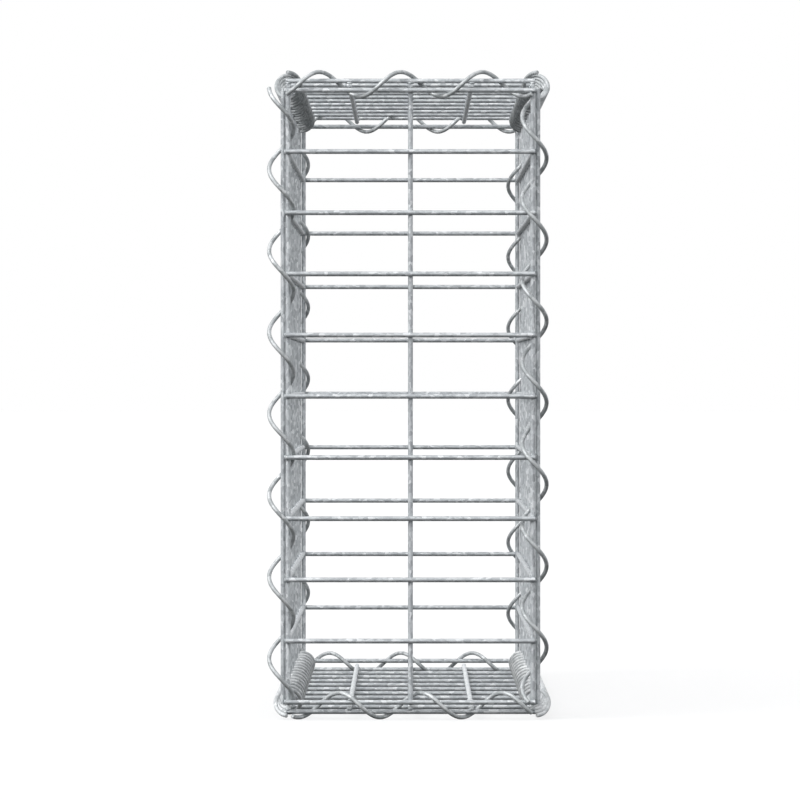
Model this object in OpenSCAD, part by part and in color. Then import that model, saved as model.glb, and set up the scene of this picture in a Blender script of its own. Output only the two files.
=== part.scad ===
// Empty welded-mesh gabion basket: six flat mesh panels laced along all
// twelve edges by spiral binders. X across, Y along the length, Z up.
// The origin is at the middle of the underside.

/* [Basket] */
// Length, between the outermost mesh lines of the two ends
basket_length = 1000; // [840:20:1400]
// Width, between the mesh lines of the two long sides
basket_width = 200; // [180:5:300]
// Height, between the mesh lines of the lid and the base
basket_height = 500; // [480:10:700]

/* [Mesh] */
// Cells along the length; even, so that both ends of a coil match
length_cells = 10; // [6:2:14]
// Cells across the lid and the base; the end panels have half as many
width_cells = 4; // [4:4:8]
// Cells up the height, in steps that keep both ends of a coil matched
height_cells = 10; // [6:4:14]
// Diameter of the mesh wire
mesh_wire_d = 4; // [3.2:0.1:4.8]
// How deep two welded wires are pressed into each other
weld_depth = 0.4; // [0.3:0.05:0.6]

/* [Coils] */
// Diameter of the spiral binder wire
coil_wire_d = 3.5; // [2.8:0.1:4.2]
// Straight steps that make up one turn of a coil
coil_steps = 14; // [14:1:16]

/* [Hidden] */

wire_sides = 8;
coil_sides = 6;
galvanised = [0.66, 0.68, 0.69];
coil_zinc = [0.60, 0.62, 0.64];

half_l = basket_length / 2;
half_w = basket_width / 2;
half_h = basket_height / 2;
cell_l = basket_length / length_cells;
cell_w = basket_width / width_cells;
cell_h = basket_height / height_cells;

w = mesh_wire_d;
overhang = w / 2;
// distance between the two layers of wires in a panel
layer = w - weld_depth;
// small gap left between neighbouring panels
seat = 0.3;

// the polygon bars keep the sectional area of the round wire
function bar_r(d, n) = d / 2 * sqrt(2 * PI / (n * sin(360 / n)));

// where the inner and outer wire layers of each panel stand
side_inner = half_w + 0.15 * w;
side_outer = side_inner + layer;
end_inner = half_l + w + seat;
end_outer = end_inner + layer;
flat_inner = half_h + w + seat;
flat_outer = flat_inner + layer;

// the coils just take in the two edge wires they lace together
coil_r = 2.0625 * w + coil_wire_d / 2;
ring_r = coil_r * 2 / (1 + cos(180 / coil_steps));
pitch_l = cell_l * 2 / 3;
pitch_w = cell_w * 4 / 3;
pitch_h = cell_h * 4 / 3;

// coil = [axis, hand, pitch, angle at mid length, centre, from, to]
// A hand of 1 is a right-handed coil. The angle runs from the axis after
// the coil's own, in the order X, Y, Z, X, Y, towards the one after that;
// it is chosen so that every strand passes between the cross wires.
corner_y = half_l + w;
left_x = -half_w - 1.4 * w;
right_x = half_w + 0.325 * w;
front_left = [2, -1, pitch_h, 103, [left_x, -corner_y], -half_h - w / 4, half_h + w / 2];
front_right = [2, -1, pitch_h, 331, [right_x, -corner_y], -half_h, half_h + w / 2];
back_left = [2, -1, pitch_h, 76, [left_x, corner_y], -half_h - w / 4, half_h + w / 4];
back_right = [2, 1, pitch_h, 209, [right_x, corner_y], -half_h - w / 4, half_h + w / 4];

upper_y = half_l + 1.25 * w;
upper_z = half_h + 1.275 * w;
lower_y = half_l + 0.625 * w;
lower_z = half_h + 0.625 * w;
front_top = [0, -1, pitch_w, 49, [-upper_y, upper_z], -half_w - w / 4, half_w - w / 4];
front_bottom = [0, 1, pitch_w, 43, [-lower_y, -lower_z], -half_w + 0.875 * w, half_w - w / 4];
back_top = [0, -1, pitch_w, 50, [upper_y, upper_z], -half_w + 0.875 * w, half_w - 0.75 * w];
back_bottom = [0, 1, pitch_w, 137, [lower_y, -lower_z], -half_w + w / 4, half_w - w / 4];

long_left = -half_w - 0.1 * w;
long_right = half_w + 0.825 * w;
long_top = half_h + 1.25 * w;
far_y = half_l + w / 4;
top_left = [1, 1, pitch_l, 167, [long_top, long_left], -half_l + w / 2, far_y];
top_right = [1, -1, pitch_l, 210, [long_top, long_right], -half_l + 1.25 * w, far_y];
bottom_left = [1, 1, pitch_l, 38, [-half_h - 0.25 * w, long_left], -half_l - 1.5 * w, far_y];
bottom_right = [1, -1, pitch_l, 331, [-half_h - 0.2 * w, long_right], -half_l - 1.25 * w, far_y];

// a vector given along, one step on and two steps on from an axis
function turned(axis, along, p, q) =
    axis == 0 ? [along, p, q] : axis == 1 ? [q, along, p] : [p, q, along];

function coil_angle(c, s) = c[3] + c[1] * 360 * s / c[2];

// one ring of the wire's section, square to the coil's own direction
function coil_ring(c, s) =
    let (
        a = coil_angle(c, s),
        slope = c[1] * 2 * PI * coil_r / c[2],
        k = 1 / sqrt(1 + slope * slope),
        rr = bar_r(coil_wire_d, coil_sides)
    )
    [for (i = [0 : coil_sides - 1])
        let (
            t = (i + 0.5) * 360 / coil_sides,
            out = ring_r + rr * cos(t),
            side = rr * sin(t)
        )
        turned(
            c[0],
            s + side * slope * k,
            c[4][0] + out * cos(a) + side * k * sin(a),
            c[4][1] + out * sin(a) - side * k * cos(a)
        )
    ];

function coil_count(c) = ceil((c[6] - c[5]) / c[2] * coil_steps);

function coil_points(c) =
    let (n = coil_count(c))
    [for (j = [0 : n]) each coil_ring(c, c[5] + (c[6] - c[5]) * j / n)];

// the part is moved so that its lowest point and its middle meet the axes
leftmost = min([for (p = coil_points(front_left)) p[0]]);
rightmost = max([for (p = coil_points(top_right)) p[0]]);
lowest = min([for (p = coil_points(front_bottom)) p[2]]);
shift = [-(leftmost + rightmost) / 2, 0, -lowest];

module coil(c) {
    n = coil_count(c);
    m = coil_sides;
    // each face is split along the diagonal that follows the twist
    sides = [for (j = [0 : n - 1], i = [0 : m - 1])
        let (
            p = j * m + i,
            q = j * m + (i + 1) % m
        )
        each c[1] < 0
            ? [[p, p + m, q], [p + m, q + m, q]]
            : [[p, p + m, q + m], [p, q + m, q]]
    ];
    start = [for (i = [0 : m - 1]) i];
    finish = [for (i = [m - 1 : -1 : 0]) n * m + i];
    color(coil_zinc)
        translate(shift)
            polyhedron(coil_points(c), concat([start], sides, [finish]));
}

// a straight wire of the given half length through a point along an axis
module wire(axis, at, half) {
    turn = axis == 0 ? [0, 90, 0] : axis == 1 ? [90, 0, 0] : [0, 0, 0];
    translate(at)
        rotate(turn)
            rotate([0, 0, 180 / wire_sides])
                cylinder(h = 2 * half, r = bar_r(w, wire_sides), center = true, $fn = wire_sides);
}

module end_panel(side) {
    color(galvanised)
        translate(shift) {
            for (i = [0 : 2 : width_cells])
                wire(2, [-half_w + i * cell_w, side * end_inner, 0], half_h + overhang);
            for (k = [0 : height_cells])
                wire(0, [0, side * end_outer, -half_h + k * cell_h], half_w + overhang);
        }
}

module side_panel(side) {
    color(galvanised)
        translate(shift) {
            for (k = [0 : height_cells])
                wire(1, [side * side_inner, 0, -half_h + k * cell_h], half_l + overhang);
            for (j = [0 : length_cells])
                wire(2, [side * side_outer, -half_l + j * cell_l, 0], half_h + overhang);
        }
}

module flat_panel(side) {
    color(galvanised)
        translate(shift) {
            for (i = [0 : width_cells])
                wire(1, [-half_w + i * cell_w, 0, side * flat_inner], half_l + overhang);
            for (j = [0 : length_cells])
                wire(0, [0, -half_l + j * cell_l, side * flat_outer], half_w + overhang);
        }
}

end_panel(-1);  // front_end_panel
end_panel(1);  // back_end_panel
side_panel(-1);  // left_side_panel
side_panel(1);  // right_side_panel
flat_panel(1);  // lid_panel
flat_panel(-1);  // base_panel
coil(front_left);  // corner_coil_front_left
coil(front_right);  // corner_coil_front_right
coil(back_left);  // corner_coil_back_left
coil(back_right);  // corner_coil_back_right
coil(front_top);  // end_coil_front_top
coil(front_bottom);  // end_coil_front_bottom
coil(back_top);  // end_coil_back_top
coil(back_bottom);  // end_coil_back_bottom
coil(top_left);  // long_coil_top_left
coil(top_right);  // long_coil_top_right
coil(bottom_left);  // long_coil_bottom_left
coil(bottom_right);  // long_coil_bottom_right
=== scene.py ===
"""Looks of an empty welded-mesh gabion basket: six galvanised mesh panels
and the twelve spiral binders that lace their edges. Lengths are in metres."""

import math

import bpy
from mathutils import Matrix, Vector


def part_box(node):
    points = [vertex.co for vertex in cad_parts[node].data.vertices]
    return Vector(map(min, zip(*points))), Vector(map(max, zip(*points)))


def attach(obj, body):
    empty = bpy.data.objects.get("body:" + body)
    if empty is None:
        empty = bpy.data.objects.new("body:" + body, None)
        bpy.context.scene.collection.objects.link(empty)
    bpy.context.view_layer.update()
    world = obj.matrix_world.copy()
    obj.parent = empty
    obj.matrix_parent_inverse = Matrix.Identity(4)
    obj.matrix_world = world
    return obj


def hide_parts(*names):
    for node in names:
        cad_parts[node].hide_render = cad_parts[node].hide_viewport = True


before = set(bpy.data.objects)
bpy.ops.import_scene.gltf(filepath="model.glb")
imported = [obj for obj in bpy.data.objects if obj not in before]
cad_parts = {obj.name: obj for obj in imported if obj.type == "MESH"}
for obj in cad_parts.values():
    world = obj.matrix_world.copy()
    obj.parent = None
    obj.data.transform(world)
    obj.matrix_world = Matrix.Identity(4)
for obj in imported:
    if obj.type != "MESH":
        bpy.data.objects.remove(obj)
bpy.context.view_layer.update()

MM = 0.001

# ---------------------------------------------------------------- sizes
MESH_WIRE = 4.0 * MM
COIL_WIRE = 3.5 * MM
COIL_RADIUS = 10.0 * MM
# the frame's wires are bars of eight sides with a round wire's sectional area
FRAME_SIDES = 8
FRAME_AREA_SHARE = FRAME_SIDES * math.sin(math.tau / FRAME_SIDES) / math.tau
FRAME_RADIUS = MESH_WIRE / 2 / math.sqrt(FRAME_AREA_SHARE)
HALF_FLAT = FRAME_RADIUS * math.cos(math.pi / FRAME_SIDES)
# the mesh wires stand this far past the last wire that they cross
OVERHANG = 2.0 * MM
LONG_CELL = 100 * MM
SHORT_CELL = 50 * MM
# a coil makes three turns where the mesh has two long cells
COIL_PITCH = LONG_CELL * 2 / 3

WIRE_SIDES = 16
COIL_SIDES = 14
COIL_STEPS = 36
SMOOTH_ANGLE = math.radians(50)
# a sheared end: a narrow chamfer round a slightly domed face
CHAMFER_WIDTH = 0.35 * MM
CHAMFER_HEIGHT = 0.22 * MM
DOME_WIDTH = 0.6 * MM
DOME_HEIGHT = 0.08 * MM
END_HEIGHT = CHAMFER_HEIGHT + DOME_HEIGHT
# the bead at a welded crossing
WELD_RADIUS = 2.75 * MM
WELD_FLATNESS = 0.5

AXES = "XYZ"
# how a shape made along Z is turned to lie along each axis
TURN = {
    "X": (0, math.radians(90), 0),
    "Y": (math.radians(90), 0, 0),
    "Z": (0, 0, 0),
}
# the same for a coil, whose angle is counted from the next axis on
LAY = {
    "X": (math.radians(90), 0, math.radians(90)),
    "Y": (math.radians(-90), math.radians(-90), 0),
    "Z": (0, 0, 0),
}


def middle(node):
    low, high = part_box(node)
    return (low + high) / 2


# --------------------------------------------------------------- camera
CAMERA_BACK = 6.967
CAMERA_RISE = 0.0162
FOCAL_LENGTH_MM = 383.8
SENSOR_MM = 36
SHIFT_X = -0.0131
SHIFT_Y = -0.0294
SIGHT = 300


def add_camera():
    """A long lens a few metres in front of one end, just above mid height."""
    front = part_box("front_end_panel")[0].y
    aim = middle("front_end_panel")
    bpy.ops.object.camera_add()
    camera = bpy.context.object
    camera.name = "camera"
    camera.data.sensor_width = SENSOR_MM
    camera.data.lens = FOCAL_LENGTH_MM
    camera.data.clip_end = SIGHT
    camera.data.shift_x = SHIFT_X
    camera.data.shift_y = SHIFT_Y
    camera.location = (aim.x, front - CAMERA_BACK, aim.z + CAMERA_RISE)
    camera.rotation_euler = (math.radians(90), 0, 0)
    bpy.context.scene.camera = camera


# -------------------------------------------------------- small helpers
def select_only(piece):
    bpy.ops.object.select_all(action="DESELECT")
    piece.select_set(True)
    bpy.context.view_layer.objects.active = piece


def settle(piece):
    """Put the piece's place into its mesh and leave the object at the origin."""
    select_only(piece)
    bpy.ops.object.transform_apply(location=True, rotation=True, scale=True)


def apply_modifier(piece, kind, **settings):
    select_only(piece)
    modifier = piece.modifiers.new(kind.title(), kind)
    for setting, value in settings.items():
        setattr(modifier, setting, value)
    bpy.ops.object.modifier_apply(modifier=modifier.name)


def repeat(piece, count, axis, step):
    """A row of copies along an axis, each one step further on."""
    apply_modifier(
        piece,
        "ARRAY",
        count=count,
        use_relative_offset=False,
        use_constant_offset=True,
        constant_offset_displace=Vector([step if a == axis else 0 for a in AXES]),
    )


def join(name, pieces):
    bpy.ops.object.select_all(action="DESELECT")
    for piece in pieces:
        piece.select_set(True)
    bpy.context.view_layer.objects.active = pieces[0]
    bpy.ops.object.join()
    pieces[0].name = name
    pieces[0].data.name = name
    return pieces[0]


def stand_for(piece, node):
    """Show the piece in place of the frame's node."""
    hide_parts(node)
    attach(piece, "root")


# ------------------------------------------------------------ materials
# a colour mix's sockets, which share their names with its number sockets
MIX_A = 6
MIX_B = 7
MIX_RESULT = 2

# a crystal's length along a wiped wire against its width
STREAK = 1.8
# how far a crystal's border may wander, as a share of the crystal
BORDER_WANDER = 2 / 3
# the zinc's finest grain, and the runs and lumps of its skin
GRAIN_MM = 1.6
LUMP_MM = 5.0
LUMP_DEPTH_MM = 0.3
LUMP_STRENGTH = 0.5
# how dull a crystal is by its own lot, and what the grain adds to that
DULLEST_LOT = 0.55
CLEAREST_LOT = -0.15
GRAIN_DULLING = 0.9
# the sums at which zinc looks quite clear and quite dull
CLEAR_SUM = 0.35
DULL_SUM = 0.95
# how much smoother clear zinc is, and how much rougher dull zinc
CLEAR_SMOOTHER = 0.08
DULL_ROUGHER = 0.10
# the share of the crystals given a painted highlight, a white flash, and how white they go
FLASH_SHARE = 0.22
FLASH_STRENGTH = 0.6
# weathered zinc carries a dull oxide, so it isn't a bare mirror metal
METAL_SHARE = 0.55


def hex_colour(code):
    """sRGB hex to the linear colour that shaders use."""
    parts = [int(code[i : i + 2], 16) / 255 for i in (1, 3, 5)]
    linear = [p / 12.92 if p <= 0.04045 else ((p + 0.055) / 1.055) ** 2.4 for p in parts]
    return (*linear, 1)


def add_node(tree, kind, values=(), links=(), **settings):
    """One node with its settings, its fixed inputs and its incoming links."""
    node = tree.nodes.new(kind)
    for setting, value in settings.items():
        setattr(node, setting, value)
    for socket, value in dict(values).items():
        node.inputs[socket].default_value = value
    for socket, source in dict(links).items():
        tree.links.new(source, node.inputs[socket])
    return node


def zinc(name, shade, body, painted_glint, crystal_mm, roughness, metal=METAL_SHARE, drawn_out=(1, 1, 1)):
    """Zinc on steel wire. The eye sees a pale grey metal that froze in small
    crystals: most are one soft grey, some are darker, and a few are painted white
    as painted highlights, where a crystal would flash. Fine grain and shallow lumps
    lie over them. drawn_out is how many times longer the crystals are along each axis."""
    material = bpy.data.materials.new(name)
    material.use_nodes = True
    tree = material.node_tree
    shader = tree.nodes["Principled BSDF"]
    crystal = crystal_mm * MM
    whole = add_node(tree, "ShaderNodeTexCoord").outputs["Object"]
    squeezed = add_node(
        tree,
        "ShaderNodeMapping",
        {"Scale": tuple(1 / longer for longer in drawn_out)},
        {"Vector": whole},
    )
    place = squeezed.outputs["Vector"]

    # crystals with wandering borders, each with lots drawn for it
    wander = add_node(
        tree,
        "ShaderNodeTexNoise",
        {"Scale": 1 / crystal, "Detail": 2.0},
        {"Vector": place},
    )
    drift = add_node(
        tree,
        "ShaderNodeVectorMath",
        {1: (crystal * BORDER_WANDER,) * 3},
        {0: wander.outputs["Color"], 2: place},
        operation="MULTIPLY_ADD",
    )
    crystals = add_node(
        tree,
        "ShaderNodeTexVoronoi",
        {"Scale": 1 / crystal},
        {"Vector": drift.outputs["Vector"]},
    )
    lots = add_node(tree, "ShaderNodeSeparateColor", links={"Color": crystals.outputs["Color"]})

    # clear and dull zinc, by a crystal's first lot and the grain
    grain = add_node(
        tree,
        "ShaderNodeTexNoise",
        {"Scale": 1 / (GRAIN_MM * MM), "Detail": 3.0, "Roughness": 0.6},
        {"Vector": place},
    )
    crystal_dulling = add_node(
        tree,
        "ShaderNodeMapRange",
        {"To Min": DULLEST_LOT, "To Max": CLEAREST_LOT},
        {"Value": lots.outputs["Red"]},
    )
    dulling_sum = add_node(
        tree,
        "ShaderNodeMath",
        {1: GRAIN_DULLING},
        {0: grain.outputs["Fac"], 2: crystal_dulling.outputs["Result"]},
        operation="MULTIPLY_ADD",
    )
    dulling = add_node(
        tree,
        "ShaderNodeMapRange",
        {"From Min": CLEAR_SUM, "From Max": DULL_SUM},
        {"Value": dulling_sum.outputs["Value"]},
    )
    tone = add_node(
        tree,
        "ShaderNodeMix",
        {MIX_A: hex_colour(body), MIX_B: hex_colour(shade)},
        {"Factor": dulling.outputs["Result"]},
        data_type="RGBA",
    )
    rough = add_node(
        tree,
        "ShaderNodeMapRange",
        {"To Min": roughness - CLEAR_SMOOTHER, "To Max": roughness + DULL_ROUGHER},
        {"Value": dulling.outputs["Result"]},
    )

    # the few crystals given a painted highlight, a white flash, by their second lot
    flash = add_node(
        tree,
        "ShaderNodeMapRange",
        {"From Min": 1 - FLASH_SHARE, "From Max": 1 - FLASH_SHARE / 2, "To Max": FLASH_STRENGTH},
        {"Value": lots.outputs["Green"]},
    )
    colour = add_node(
        tree,
        "ShaderNodeMix",
        {MIX_B: hex_colour(painted_glint)},
        {"Factor": flash.outputs["Result"], MIX_A: tone.outputs[MIX_RESULT]},
        data_type="RGBA",
    )

    # the skin's runs and lumps
    lumps = add_node(
        tree,
        "ShaderNodeTexNoise",
        {"Scale": 1 / (LUMP_MM * MM), "Detail": 3.0, "Roughness": 0.5},
        {"Vector": place},
    )
    skin = add_node(
        tree,
        "ShaderNodeBump",
        {"Strength": LUMP_STRENGTH, "Distance": LUMP_DEPTH_MM * MM},
        {"Height": lumps.outputs["Fac"]},
    )

    tree.links.new(colour.outputs[MIX_RESULT], shader.inputs["Base Color"])
    tree.links.new(rough.outputs["Result"], shader.inputs["Roughness"])
    tree.links.new(skin.outputs["Normal"], shader.inputs["Normal"])
    shader.inputs["Metallic"].default_value = metal
    return material


def drawn_along(axis):
    return [STREAK if a == axis else 1 for a in AXES]


def wiped_zinc(axis):
    """Hot-dip galvanised mesh wire, wiped along its length as it leaves the
    bath, so its crystals are drawn out into short streaks along the wire."""
    return zinc(
        f"hot_dip_galvanised_wire_along_{axis.lower()}",
        "#AAAEB1",
        "#CACED0",
        "#F0F2F3",
        crystal_mm=2.2,
        roughness=0.48,
        drawn_out=drawn_along(axis),
    )


def painted_lit_zinc():
    """Mesh zinc for the base's lengthwise wires, painted paler and made flatter so that
    it hardly mirrors: a lit copy, painted light for the light falling on their tops."""
    return zinc(
        "base_wire_zinc_painted_lighter",
        "#C8CBCD",
        "#E2E5E6",
        "#F4F5F6",
        crystal_mm=2.2,
        roughness=0.6,
        metal=0.1,
        drawn_out=drawn_along("Y"),
    )


def weld_zinc():
    """Zinc burnt a little by a resistance weld: slightly darker, duller and
    rougher than the wire, and its painted highlights are grey."""
    return zinc(
        "zinc_over_resistance_weld",
        "#9CA1A4",
        "#BCC0C2",
        "#E4E6E7",
        crystal_mm=2.6,
        roughness=0.55,
    )


def coil_zinc():
    """Wire galvanised before it was drawn and coiled: an even grey in large
    soft patches, rougher than the mesh."""
    return zinc(
        "galvanised_drawn_coil_wire",
        "#A6AAAB",
        "#C1C4C5",
        "#DADCDD",
        crystal_mm=4.2,
        roughness=0.6,
    )


def painted_lit_coil_zinc():
    """The same wire where it lies along the base, painted paler: a lit copy, painted light from
    above.
    """
    return zinc(
        "painted_lit_coil_zinc",
        "#BCBFC0",
        "#D6D8D9",
        "#EAECEC",
        crystal_mm=4.2,
        roughness=0.6,
        metal=0.3,
    )


# ---------------------------------------------------------------- wires
def shape_ends(wire):
    """Chamfer and dome both end faces outwards, the only faces with more than
    four corners, and smooth the round of the wire."""
    select_only(wire)
    bpy.ops.object.mode_set(mode="EDIT")
    bpy.ops.mesh.select_mode(type="FACE")
    bpy.ops.mesh.select_all(action="DESELECT")
    bpy.ops.object.mode_set(mode="OBJECT")
    for face in wire.data.polygons:
        face.select = len(face.vertices) > 4
    bpy.ops.object.mode_set(mode="EDIT")
    bpy.ops.mesh.inset(thickness=CHAMFER_WIDTH, depth=CHAMFER_HEIGHT)
    bpy.ops.mesh.inset(thickness=DOME_WIDTH, depth=DOME_HEIGHT)
    bpy.ops.object.mode_set(mode="OBJECT")
    bpy.ops.object.shade_smooth_by_angle(angle=SMOOTH_ANGLE)


def straight_wire(axis, centre, length):
    bpy.ops.object.select_all(action="DESELECT")
    bpy.ops.mesh.primitive_cylinder_add(
        vertices=WIRE_SIDES,
        radius=MESH_WIRE / 2,
        depth=length - 2 * END_HEIGHT,
        end_fill_type="NGON",
        location=centre,
        rotation=TURN[axis],
    )
    wire = bpy.context.object
    settle(wire)
    shape_ends(wire)
    return wire


def weld(centre, normal_axis):
    """The flash squeezed out where two wires are pressed and welded."""
    bpy.ops.object.select_all(action="DESELECT")
    bpy.ops.mesh.primitive_uv_sphere_add(
        segments=10, ring_count=5, radius=WELD_RADIUS, location=centre, rotation=TURN[normal_axis]
    )
    bead = bpy.context.object
    bead.scale = (1, 1, WELD_FLATNESS)
    settle(bead)
    bpy.ops.object.shade_smooth()
    return bead


def mesh_panel(node, inner_axis, outer_axis, inner_cell, outer_cell, side, inner_zinc=None):
    """A welded panel: the inner wires run along inner_axis and are outer_cell
    apart; the outer ones run along outer_axis and are inner_cell apart. side
    is 1 where the outer wires stand on the higher side of the inner ones."""
    low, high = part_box(node)
    normal = next(a for a in AXES if a not in (inner_axis, outer_axis))
    i, o, n = (AXES.index(a) for a in (inner_axis, outer_axis, normal))
    inner_face, outer_face = (low[n], high[n]) if side > 0 else (high[n], low[n])
    inner_level = inner_face + side * HALF_FLAT
    outer_level = outer_face - side * HALF_FLAT
    inner_length = high[i] - low[i]
    outer_length = high[o] - low[o]
    inner_count = round((outer_length - 2 * OVERHANG) / outer_cell) + 1
    outer_count = round((inner_length - 2 * OVERHANG) / inner_cell) + 1

    centre = middle(node)
    centre[o] = low[o] + OVERHANG
    centre[n] = inner_level
    inner = straight_wire(inner_axis, centre, inner_length)
    repeat(inner, inner_count, outer_axis, outer_cell)

    centre = middle(node)
    centre[i] = low[i] + OVERHANG
    centre[n] = outer_level
    outer = straight_wire(outer_axis, centre, outer_length)
    repeat(outer, outer_count, inner_axis, inner_cell)

    crossing = low.copy()
    crossing[i] = low[i] + OVERHANG
    crossing[o] = low[o] + OVERHANG
    crossing[n] = (inner_level + outer_level) / 2
    beads = weld(crossing, normal)
    repeat(beads, inner_count, outer_axis, outer_cell)
    repeat(beads, outer_count, inner_axis, inner_cell)

    inner.data.materials.append(inner_zinc or MESH_ZINC[inner_axis])
    outer.data.materials.append(MESH_ZINC[outer_axis])
    beads.data.materials.append(WELD_ZINC)
    panel = join(node + "_wires", [inner, outer, beads])
    stand_for(panel, node)


def coil(node, axis, hand, angle, start, finish, coat):
    """A spiral binder. hand is 1 for a right-handed coil; angle is where its
    wire stands, in degrees, at the middle of the basket; start and finish are
    millimetres from that middle along the axis. It is wound about Z and then
    laid along its own axis."""
    along = AXES.index(axis)
    centre = middle(node)
    centre[along] = BASKET_MIDDLE[along]
    begin = start * MM
    length = (finish - start) * MM
    turns = length / COIL_PITCH
    first = math.radians(angle) + hand * math.tau * begin / COIL_PITCH
    slope = hand * math.tau * COIL_RADIUS / COIL_PITCH

    bpy.ops.object.select_all(action="DESELECT")
    bpy.ops.mesh.primitive_circle_add(
        vertices=COIL_SIDES,
        radius=COIL_WIRE / 2,
        fill_type="NOTHING",
        location=(COIL_RADIUS * math.cos(first), COIL_RADIUS * math.sin(first), begin),
        rotation=(-math.atan(slope), 0, first),
    )
    wire = bpy.context.object
    settle(wire)
    steps = round(turns * COIL_STEPS)
    apply_modifier(
        wire,
        "SCREW",
        axis="Z",
        angle=hand * turns * math.tau,
        screw_offset=length,
        steps=steps,
        render_steps=steps,
        use_merge_vertices=False,
    )
    select_only(wire)
    bpy.ops.object.mode_set(mode="EDIT")
    bpy.ops.mesh.select_mode(type="EDGE")
    bpy.ops.mesh.select_all(action="DESELECT")
    bpy.ops.mesh.select_non_manifold()
    bpy.ops.mesh.fill_holes(sides=0)
    bpy.ops.mesh.select_all(action="SELECT")
    bpy.ops.mesh.normals_make_consistent(inside=False)
    bpy.ops.object.mode_set(mode="OBJECT")
    shape_ends(wire)
    wire.rotation_euler = LAY[axis]
    settle(wire)
    wire.location = centre
    settle(wire)
    wire.name = node + "_wire"
    wire.data.name = wire.name
    wire.data.materials.append(coat)
    stand_for(wire, node)


# --------------------------------------------------------------- studio
FLOOR_RADIUS = 60
DOME_RADIUS = 80
# the light's strength from straight below, from level and from straight above
BELOW_LIGHT = 0.03
LEVEL_LIGHT = 0.86
ABOVE_LIGHT = 0.95
# how high a direction looks, from -1 straight down to 1 straight up, where
# the light starts and stops rising to its level strength and then to its top
LEVEL_START = -0.6
LEVEL_REACHED = 0.15
TOP_START = 0.1
TOP_REACHED = 0.9
SUN_ENERGY = 2.3
SUN_TILT = (math.radians(30), math.radians(-42), 0)
SUN_SOFTNESS = math.radians(40)


def hide_from_light(surface):
    """Only the camera sees it: it neither lights the zinc nor mirrors in it."""
    surface.visible_glossy = False
    surface.visible_diffuse = False
    surface.visible_transmission = False


def add_floor():
    """A wide floor in matt white paint, which looks even and has no shine."""
    bpy.ops.object.select_all(action="DESELECT")
    bpy.ops.mesh.primitive_circle_add(vertices=96, radius=FLOOR_RADIUS, fill_type="NGON")
    floor = bpy.context.object
    floor.name = "floor"
    paint = bpy.data.materials.new("matt_white_floor_paint")
    paint.use_nodes = True
    shader = paint.node_tree.nodes["Principled BSDF"]
    shader.inputs["Base Color"].default_value = hex_colour("#8C8C8C")
    shader.inputs["Roughness"].default_value = 0.95
    shader.inputs["Specular IOR Level"].default_value = 0.1
    # a light of its own keeps the floor near white under the basket
    shader.inputs["Emission Color"].default_value = hex_colour("#FFFFFF")
    shader.inputs["Emission Strength"].default_value = 0.66
    floor.data.materials.append(paint)
    hide_from_light(floor)


def add_backdrop():
    """A white dome all round, which looks the same in every direction."""
    bpy.ops.object.select_all(action="DESELECT")
    bpy.ops.mesh.primitive_uv_sphere_add(segments=48, ring_count=24, radius=DOME_RADIUS)
    dome = bpy.context.object
    dome.name = "backdrop"
    material = bpy.data.materials.new("white_backdrop")
    material.use_nodes = True
    tree = material.node_tree
    tree.nodes.remove(tree.nodes["Principled BSDF"])
    glow = add_node(tree, "ShaderNodeEmission", {"Color": hex_colour("#FFFFFF"), "Strength": 1.0})
    tree.links.new(glow.outputs["Emission"], tree.nodes["Material Output"].inputs["Surface"])
    dome.data.materials.append(material)
    hide_from_light(dome)
    dome.visible_shadow = False


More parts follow.
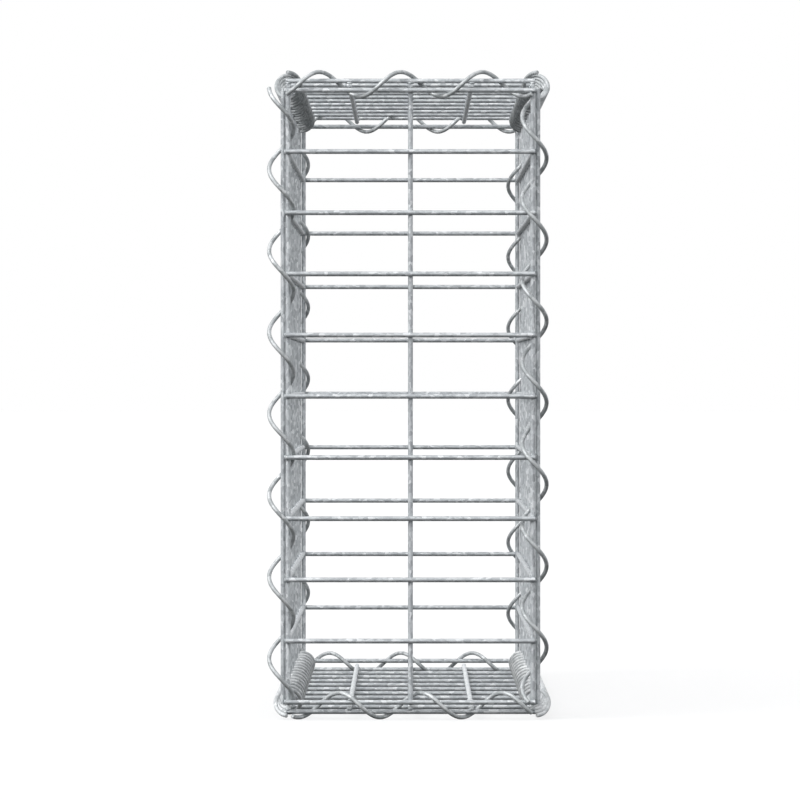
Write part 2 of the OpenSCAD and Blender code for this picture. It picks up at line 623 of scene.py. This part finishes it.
def soft_light():
    """Even light from above and from all round, which fades to almost nothing
    from below, as over a dark studio table, and one wide lamp overhead."""
    world = bpy.data.worlds.new("soft_studio_light")
    bpy.context.scene.world = world
    world.use_nodes = True
    tree = world.node_tree
    way = add_node(tree, "ShaderNodeTexCoord").outputs["Generated"]
    up = add_node(tree, "ShaderNodeSeparateXYZ", links={"Vector": way}).outputs["Z"]
    to_level = add_node(
        tree,
        "ShaderNodeMapRange",
        {
            "From Min": LEVEL_START,
            "From Max": LEVEL_REACHED,
            "To Min": BELOW_LIGHT,
            "To Max": LEVEL_LIGHT,
        },
        {"Value": up},
        interpolation_type="SMOOTHSTEP",
    )
    to_top = add_node(
        tree,
        "ShaderNodeMapRange",
        {"From Min": TOP_START, "From Max": TOP_REACHED, "To Max": ABOVE_LIGHT - LEVEL_LIGHT},
        {"Value": up},
        interpolation_type="SMOOTHSTEP",
    )
    both = add_node(
        tree,
        "ShaderNodeMath",
        links={0: to_level.outputs["Result"], 1: to_top.outputs["Result"]},
        operation="ADD",
    )
    background = tree.nodes["Background"]
    background.inputs["Color"].default_value = hex_colour("#FCFDFF")
    tree.links.new(both.outputs["Value"], background.inputs["Strength"])

    bpy.ops.object.light_add(type="SUN", location=(0, 0, 4), rotation=SUN_TILT)
    sun = bpy.context.object
    sun.name = "overhead_soft_light"
    sun.data.energy = SUN_ENERGY
    sun.data.angle = SUN_SOFTNESS


# ----------------------------------------------------------- the object
add_camera()

MESH_ZINC = {axis: wiped_zinc(axis) for axis in AXES}
PAINTED_LIT_ZINC = painted_lit_zinc()
WELD_ZINC = weld_zinc()
COIL_ZINC = coil_zinc()
PAINTED_LIT_COIL_ZINC = painted_lit_coil_zinc()

# the mesh's own middle; the coils on its edges don't stand evenly about it
BASKET_MIDDLE = middle("left_side_panel")
BASKET_MIDDLE.x = middle("lid_panel").x

mesh_panel("front_end_panel", "Z", "X", SHORT_CELL, LONG_CELL, -1)
mesh_panel("back_end_panel", "Z", "X", SHORT_CELL, LONG_CELL, 1)
mesh_panel("left_side_panel", "Y", "Z", LONG_CELL, SHORT_CELL, -1)
mesh_panel("right_side_panel", "Y", "Z", LONG_CELL, SHORT_CELL, 1)
mesh_panel("lid_panel", "Y", "X", LONG_CELL, SHORT_CELL, 1)
# the base's lengthwise wires take a paler copy of the zinc: painted light from above
mesh_panel("base_panel", "Y", "X", LONG_CELL, SHORT_CELL, -1, PAINTED_LIT_ZINC)

coil("corner_coil_front_left", "Z", -1, 103, -251, 252, COIL_ZINC)
coil("corner_coil_front_right", "Z", -1, 331, -250, 252, COIL_ZINC)
coil("corner_coil_back_left", "Z", -1, 76, -251, 251, COIL_ZINC)
coil("corner_coil_back_right", "Z", 1, 209, -251, 251, COIL_ZINC)
coil("end_coil_front_top", "X", -1, 49, -101, 99, COIL_ZINC)
coil("end_coil_front_bottom", "X", 1, 43, -96.5, 99, COIL_ZINC)
coil("end_coil_back_top", "X", -1, 50, -96.5, 97, COIL_ZINC)
coil("end_coil_back_bottom", "X", 1, 137, -99, 99, COIL_ZINC)
coil("long_coil_top_left", "Y", 1, 167, -498, 501, COIL_ZINC)
coil("long_coil_top_right", "Y", -1, 210, -495, 501, COIL_ZINC)
# the base coils take a paler copy of the coil zinc: painted light from above
coil("long_coil_bottom_left", "Y", 1, 38, -506, 501, PAINTED_LIT_COIL_ZINC)
coil("long_coil_bottom_right", "Y", -1, 331, -505, 501, PAINTED_LIT_COIL_ZINC)

bpy.context.scene.view_settings.view_transform = "Standard"
add_floor()
add_backdrop()
soft_light()
